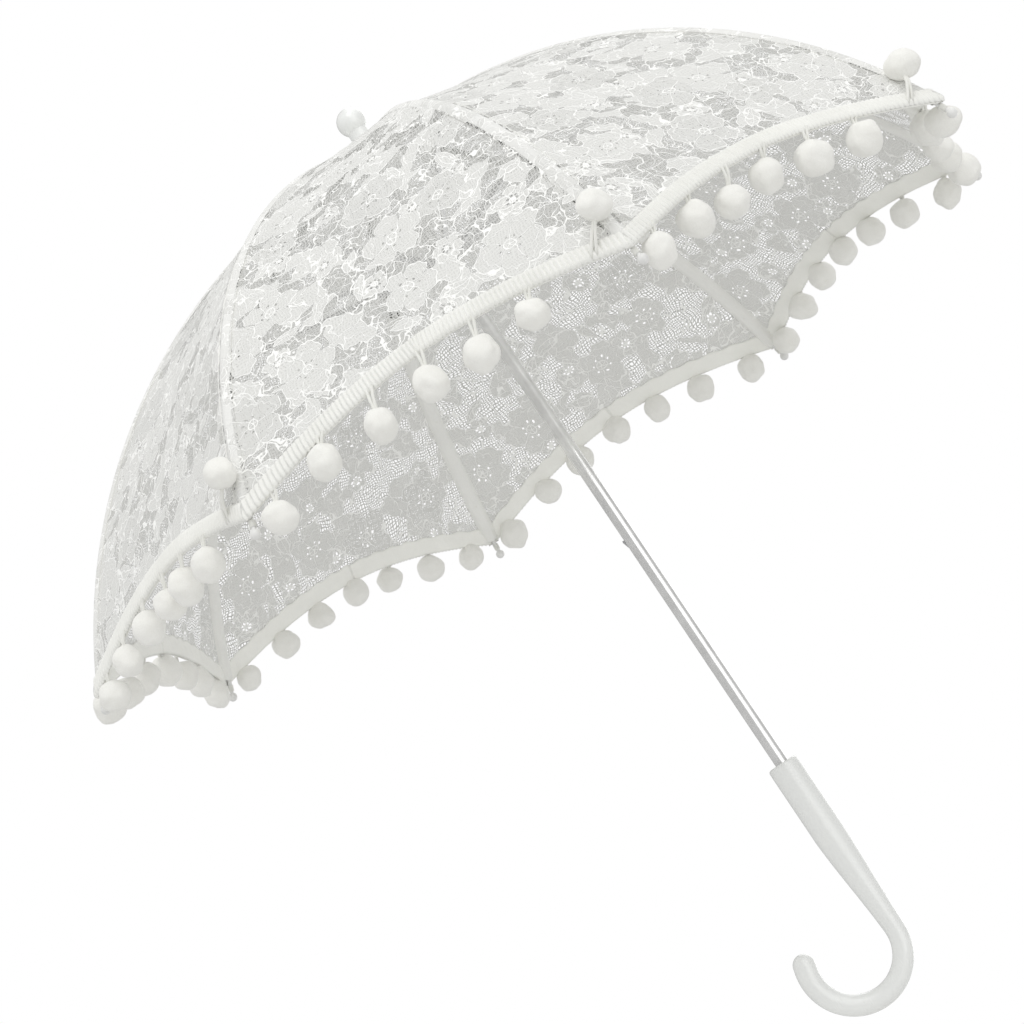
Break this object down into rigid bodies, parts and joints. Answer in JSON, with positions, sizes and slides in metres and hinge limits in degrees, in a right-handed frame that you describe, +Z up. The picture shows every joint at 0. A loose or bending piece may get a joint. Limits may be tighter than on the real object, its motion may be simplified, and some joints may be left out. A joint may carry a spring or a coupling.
{
  "type": "lace parasol",
  "caption": "Small open parasol with a white lace canopy on curved ribs, pom-pom trim, a slim steel shaft, a sliding runner and a white crook handle.",
  "frame": {"origin": "on the shaft's axis, inside the handle's straight round grip, 34 mm below its top", "axes": "+Z up the shaft towards the finial; the crook bends towards -X"},
  "size_m": [0.5882, 0.5854, 0.5909],
  "materials": {
    "shaft_steel": "bright plated tube",
    "white_gloss": "gloss white moulding",
    "white_matte": "satin white moulding",
    "wire": "plain steel wire and sheet",
    "rib_white": "white coated wire",
    "stretcher_steel": "pale coated steel channel",
    "lace": "open floral lace, white",
    "trim": "cream white gimp braid and pom-poms"
  },
  "bodies": {
    "shaft": {"shaft_tube": "shaft_steel", "handle": "white_gloss", "finial": "white_gloss", "crown_cap": "white_gloss", "top_notch": "white_matte", "notch_wire": "wire"},
    "runner": {"runner": "white_matte", "runner_wire": "wire"},
    "upper_catch": {"upper_catch": "wire"},
    "lower_catch": {"lower_catch": "wire"},
    "rib_1": {"rib_1": "rib_white"},
    "stretcher_1": {"stretcher_1": "stretcher_steel"},
    "flap_1a": {"lace_1a": "lace", "trim_1a": "trim"},
    "flap_1b": {"lace_1b": "lace", "trim_1b": "trim"},
    "rib_2": {"rib_2": "rib_white"},
    "stretcher_2": {"stretcher_2": "stretcher_steel"},
    "flap_2a": {"lace_2a": "lace", "trim_2a": "trim"},
    "flap_2b": {"lace_2b": "lace", "trim_2b": "trim"},
    "rib_3": {"rib_3": "rib_white"},
    "stretcher_3": {"stretcher_3": "stretcher_steel"},
    "flap_3a": {"lace_3a": "lace", "trim_3a": "trim"},
    "flap_3b": {"lace_3b": "lace", "trim_3b": "trim"},
    "rib_4": {"rib_4": "rib_white"},
    "stretcher_4": {"stretcher_4": "stretcher_steel"},
    "flap_4a": {"lace_4a": "lace", "trim_4a": "trim"},
    "flap_4b": {"lace_4b": "lace", "trim_4b": "trim"},
    "rib_5": {"rib_5": "rib_white"},
    "stretcher_5": {"stretcher_5": "stretcher_steel"},
    "flap_5a": {"lace_5a": "lace", "trim_5a": "trim"},
    "flap_5b": {"lace_5b": "lace", "trim_5b": "trim"},
    "rib_6": {"rib_6": "rib_white"},
    "stretcher_6": {"stretcher_6": "stretcher_steel"},
    "flap_6a": {"lace_6a": "lace", "trim_6a": "trim"},
    "flap_6b": {"lace_6b": "lace", "trim_6b": "trim"},
    "rib_7": {"rib_7": "rib_white"},
    "stretcher_7": {"stretcher_7": "stretcher_steel"},
    "flap_7a": {"lace_7a": "lace", "trim_7a": "trim"},
    "flap_7b": {"lace_7b": "lace", "trim_7b": "trim"},
    "rib_8": {"rib_8": "rib_white"},
    "stretcher_8": {"stretcher_8": "stretcher_steel"},
    "flap_8a": {"lace_8a": "lace", "trim_8a": "trim"},
    "flap_8b": {"lace_8b": "lace", "trim_8b": "trim"}
  },
  "joints": [
    {"name": "runner_slide", "type": "slide", "parent": "shaft", "child": "runner", "axis": [0, 0, 1], "range_m": [-0.199, 0]},
    {"name": "upper_catch_press", "type": "slide", "parent": "shaft", "child": "upper_catch", "axis": [0.9914, -0.1305, 0], "range_m": [0, 0.0014], "stiffness_N_per_m": 400, "springref_m": -0.001},
    {"name": "lower_catch_press", "type": "slide", "parent": "shaft", "child": "lower_catch", "axis": [0.9914, -0.1305, 0], "range_m": [0, 0.0014], "stiffness_N_per_m": 400, "springref_m": -0.001},
    {"name": "rib_1_fold", "type": "hinge", "parent": "shaft", "child": "rib_1", "pos_m": [0.00734, 0.00197, 0.45191], "axis": [-0.2588, 0.9659, 0], "range_deg": [0, 51.88]},
    {"name": "stretcher_1_fold", "type": "hinge", "parent": "runner", "child": "stretcher_1", "pos_m": [0.00734, 0.00197, 0.37587], "axis": [0.2588, -0.9659, 0], "range_deg": [0, 51.88]},
    {"name": "flap_1a_fold", "type": "hinge", "parent": "rib_1", "child": "flap_1a", "pos_m": [0.00582, -0.00116, 0.45081], "axis": [-0.2321, -0.9457, -0.2276], "range_deg": [0, 24.37], "deforming": ["lace_1a", "trim_1a"]},
    {"name": "flap_1b_fold", "type": "hinge", "parent": "rib_1", "child": "flap_1b", "pos_m": [0.00446, 0.00392, 0.45081], "axis": [0.6739, -0.7029, 0.2276], "range_deg": [0, 24.37], "deforming": ["lace_1b", "trim_1b"]},
    {"name": "rib_2_fold", "type": "hinge", "parent": "shaft", "child": "rib_2", "pos_m": [0.0038, 0.00658, 0.45191], "axis": [-0.866, 0.5, 0], "range_deg": [0, 51.88]},
    {"name": "stretcher_2_fold", "type": "hinge", "parent": "runner", "child": "stretcher_2", "pos_m": [0.0038, 0.00658, 0.37587], "axis": [0.866, -0.5, 0], "range_deg": [0, 51.88]},
    {"name": "flap_2a_fold", "type": "hinge", "parent": "rib_2", "child": "flap_2a", "pos_m": [0.00494, 0.0033, 0.45081], "axis": [0.5046, -0.8328, -0.2276], "range_deg": [0, 24.37], "deforming": ["lace_2a", "trim_2a"]},
    {"name": "flap_2b_fold", "type": "hinge", "parent": "rib_2", "child": "flap_2b", "pos_m": [0.00038, 0.00593, 0.45081], "axis": [0.9735, -0.0206, 0.2276], "range_deg": [0, 24.37], "deforming": ["lace_2b", "trim_2b"]},
    {"name": "rib_3_fold", "type": "hinge", "parent": "shaft", "child": "rib_3", "pos_m": [-0.00197, 0.00734, 0.45191], "axis": [-0.9659, -0.2588, 0], "range_deg": [0, 51.88]},
    {"name": "stretcher_3_fold", "type": "hinge", "parent": "runner", "child": "stretcher_3", "pos_m": [-0.00197, 0.00734, 0.37587], "axis": [0.9659, 0.2588, 0], "range_deg": [0, 51.88]},
    {"name": "flap_3a_fold", "type": "hinge", "parent": "rib_3", "child": "flap_3a", "pos_m": [0.00116, 0.00582, 0.45081], "axis": [0.9457, -0.2321, -0.2276], "range_deg": [0, 24.37], "deforming": ["lace_3a", "trim_3a"]},
    {"name": "flap_3b_fold", "type": "hinge", "parent": "rib_3", "child": "flap_3b", "pos_m": [-0.00392, 0.00446, 0.45081], "axis": [0.7029, 0.6739, 0.2276], "range_deg": [0, 24.37], "deforming": ["lace_3b", "trim_3b"]},
    {"name": "rib_4_fold", "type": "hinge", "parent": "shaft", "child": "rib_4", "pos_m": [-0.00658, 0.0038, 0.45191], "axis": [-0.5, -0.866, 0], "range_deg": [0, 51.88]},
    {"name": "stretcher_4_fold", "type": "hinge", "parent": "runner", "child": "stretcher_4", "pos_m": [-0.00658, 0.0038, 0.37587], "axis": [0.5, 0.866, 0], "range_deg": [0, 51.88]},
    {"name": "flap_4a_fold", "type": "hinge", "parent": "rib_4", "child": "flap_4a", "pos_m": [-0.0033, 0.00494, 0.45081], "axis": [0.8328, 0.5046, -0.2276], "range_deg": [0, 24.37], "deforming": ["lace_4a", "trim_4a"]},
    {"name": "flap_4b_fold", "type": "hinge", "parent": "rib_4", "child": "flap_4b", "pos_m": [-0.00593, 0.00038, 0.45081], "axis": [0.0206, 0.9735, 0.2276], "range_deg": [0, 24.37], "deforming": ["lace_4b", "trim_4b"]},
    {"name": "rib_5_fold", "type": "hinge", "parent": "shaft", "child": "rib_5", "pos_m": [-0.00734, -0.00197, 0.45191], "axis": [0.2588, -0.9659, 0], "range_deg": [0, 51.88]},
    {"name": "stretcher_5_fold", "type": "hinge", "parent": "runner", "child": "stretcher_5", "pos_m": [-0.00734, -0.00197, 0.37587], "axis": [-0.2588, 0.9659, 0], "range_deg": [0, 51.88]},
    {"name": "flap_5a_fold", "type": "hinge", "parent": "rib_5", "child": "flap_5a", "pos_m": [-0.00582, 0.00116, 0.45081], "axis": [0.2321, 0.9457, -0.2276], "range_deg": [0, 24.37], "deforming": ["lace_5a", "trim_5a"]},
    {"name": "flap_5b_fold", "type": "hinge", "parent": "rib_5", "child": "flap_5b", "pos_m": [-0.00446, -0.00392, 0.45081], "axis": [-0.6739, 0.7029, 0.2276], "range_deg": [0, 24.37], "deforming": ["lace_5b", "trim_5b"]},
    {"name": "rib_6_fold", "type": "hinge", "parent": "shaft", "child": "rib_6", "pos_m": [-0.0038, -0.00658, 0.45191], "axis": [0.866, -0.5, 0], "range_deg": [0, 51.88]},
    {"name": "stretcher_6_fold", "type": "hinge", "parent": "runner", "child": "stretcher_6", "pos_m": [-0.0038, -0.00658, 0.37587], "axis": [-0.866, 0.5, 0], "range_deg": [0, 51.88]},
    {"name": "flap_6a_fold", "type": "hinge", "parent": "rib_6", "child": "flap_6a", "pos_m": [-0.00494, -0.0033, 0.45081], "axis": [-0.5046, 0.8328, -0.2276], "range_deg": [0, 24.37], "deforming": ["lace_6a", "trim_6a"]},
    {"name": "flap_6b_fold", "type": "hinge", "parent": "rib_6", "child": "flap_6b", "pos_m": [-0.00038, -0.00593, 0.45081], "axis": [-0.9735, 0.0206, 0.2276], "range_deg": [0, 24.37], "deforming": ["lace_6b", "trim_6b"]},
    {"name": "rib_7_fold", "type": "hinge", "parent": "shaft", "child": "rib_7", "pos_m": [0.00197, -0.00734, 0.45191], "axis": [0.9659, 0.2588, 0], "range_deg": [0, 51.88]},
    {"name": "stretcher_7_fold", "type": "hinge", "parent": "runner", "child": "stretcher_7", "pos_m": [0.00197, -0.00734, 0.37587], "axis": [-0.9659, -0.2588, 0], "range_deg": [0, 51.88]},
    {"name": "flap_7a_fold", "type": "hinge", "parent": "rib_7", "child": "flap_7a", "pos_m": [-0.00116, -0.00582, 0.45081], "axis": [-0.9457, 0.2321, -0.2276], "range_deg": [0, 24.37], "deforming": ["lace_7a", "trim_7a"]},
    {"name": "flap_7b_fold", "type": "hinge", "parent": "rib_7", "child": "flap_7b", "pos_m": [0.00392, -0.00446, 0.45081], "axis": [-0.7029, -0.6739, 0.2276], "range_deg": [0, 24.37], "deforming": ["lace_7b", "trim_7b"]},
    {"name": "rib_8_fold", "type": "hinge", "parent": "shaft", "child": "rib_8", "pos_m": [0.00658, -0.0038, 0.45191], "axis": [0.5, 0.866, 0], "range_deg": [0, 51.88]},
    {"name": "stretcher_8_fold", "type": "hinge", "parent": "runner", "child": "stretcher_8", "pos_m": [0.00658, -0.0038, 0.37587], "axis": [-0.5, -0.866, 0], "range_deg": [0, 51.88]},
    {"name": "flap_8a_fold", "type": "hinge", "parent": "rib_8", "child": "flap_8a", "pos_m": [0.0033, -0.00494, 0.45081], "axis": [-0.8328, -0.5046, -0.2276], "range_deg": [0, 24.37], "deforming": ["lace_8a", "trim_8a"]},
    {"name": "flap_8b_fold", "type": "hinge", "parent": "rib_8", "child": "flap_8b", "pos_m": [0.00593, -0.00038, 0.45081], "axis": [-0.0206, -0.9735, 0.2276], "range_deg": [0, 24.37], "deforming": ["lace_8b", "trim_8b"]}
  ],
  "couplings": [
    {"joint": "rib_1_fold", "follows": "runner_slide", "rad_per_m": -4.5413},
    {"joint": "stretcher_1_fold", "follows": "runner_slide", "rad_per_m": -4.5413},
    {"joint": "flap_1a_fold", "follows": "runner_slide", "rad_per_m": -2.1331},
    {"joint": "flap_1b_fold", "follows": "runner_slide", "rad_per_m": -2.1331},
    {"joint": "rib_2_fold", "follows": "runner_slide", "rad_per_m": -4.5413},
    {"joint": "stretcher_2_fold", "follows": "runner_slide", "rad_per_m": -4.5413},
    {"joint": "flap_2a_fold", "follows": "runner_slide", "rad_per_m": -2.1331},
    {"joint": "flap_2b_fold", "follows": "runner_slide", "rad_per_m": -2.1331},
    {"joint": "rib_3_fold", "follows": "runner_slide", "rad_per_m": -4.5413},
    {"joint": "stretcher_3_fold", "follows": "runner_slide", "rad_per_m": -4.5413},
    {"joint": "flap_3a_fold", "follows": "runner_slide", "rad_per_m": -2.1331},
    {"joint": "flap_3b_fold", "follows": "runner_slide", "rad_per_m": -2.1331},
    {"joint": "rib_4_fold", "follows": "runner_slide", "rad_per_m": -4.5413},
    {"joint": "stretcher_4_fold", "follows": "runner_slide", "rad_per_m": -4.5413},
    {"joint": "flap_4a_fold", "follows": "runner_slide", "rad_per_m": -2.1331},
    {"joint": "flap_4b_fold", "follows": "runner_slide", "rad_per_m": -2.1331},
    {"joint": "rib_5_fold", "follows": "runner_slide", "rad_per_m": -4.5413},
    {"joint": "stretcher_5_fold", "follows": "runner_slide", "rad_per_m": -4.5413},
    {"joint": "flap_5a_fold", "follows": "runner_slide", "rad_per_m": -2.1331},
    {"joint": "flap_5b_fold", "follows": "runner_slide", "rad_per_m": -2.1331},
    {"joint": "rib_6_fold", "follows": "runner_slide", "rad_per_m": -4.5413},
    {"joint": "stretcher_6_fold", "follows": "runner_slide", "rad_per_m": -4.5413},
    {"joint": "flap_6a_fold", "follows": "runner_slide", "rad_per_m": -2.1331},
    {"joint": "flap_6b_fold", "follows": "runner_slide", "rad_per_m": -2.1331},
    {"joint": "rib_7_fold", "follows": "runner_slide", "rad_per_m": -4.5413},
    {"joint": "stretcher_7_fold", "follows": "runner_slide", "rad_per_m": -4.5413},
    {"joint": "flap_7a_fold", "follows": "runner_slide", "rad_per_m": -2.1331},
    {"joint": "flap_7b_fold", "follows": "runner_slide", "rad_per_m": -2.1331},
    {"joint": "rib_8_fold", "follows": "runner_slide", "rad_per_m": -4.5413},
    {"joint": "stretcher_8_fold", "follows": "runner_slide", "rad_per_m": -4.5413},
    {"joint": "flap_8a_fold", "follows": "runner_slide", "rad_per_m": -2.1331},
    {"joint": "flap_8b_fold", "follows": "runner_slide", "rad_per_m": -2.1331}
  ]
}
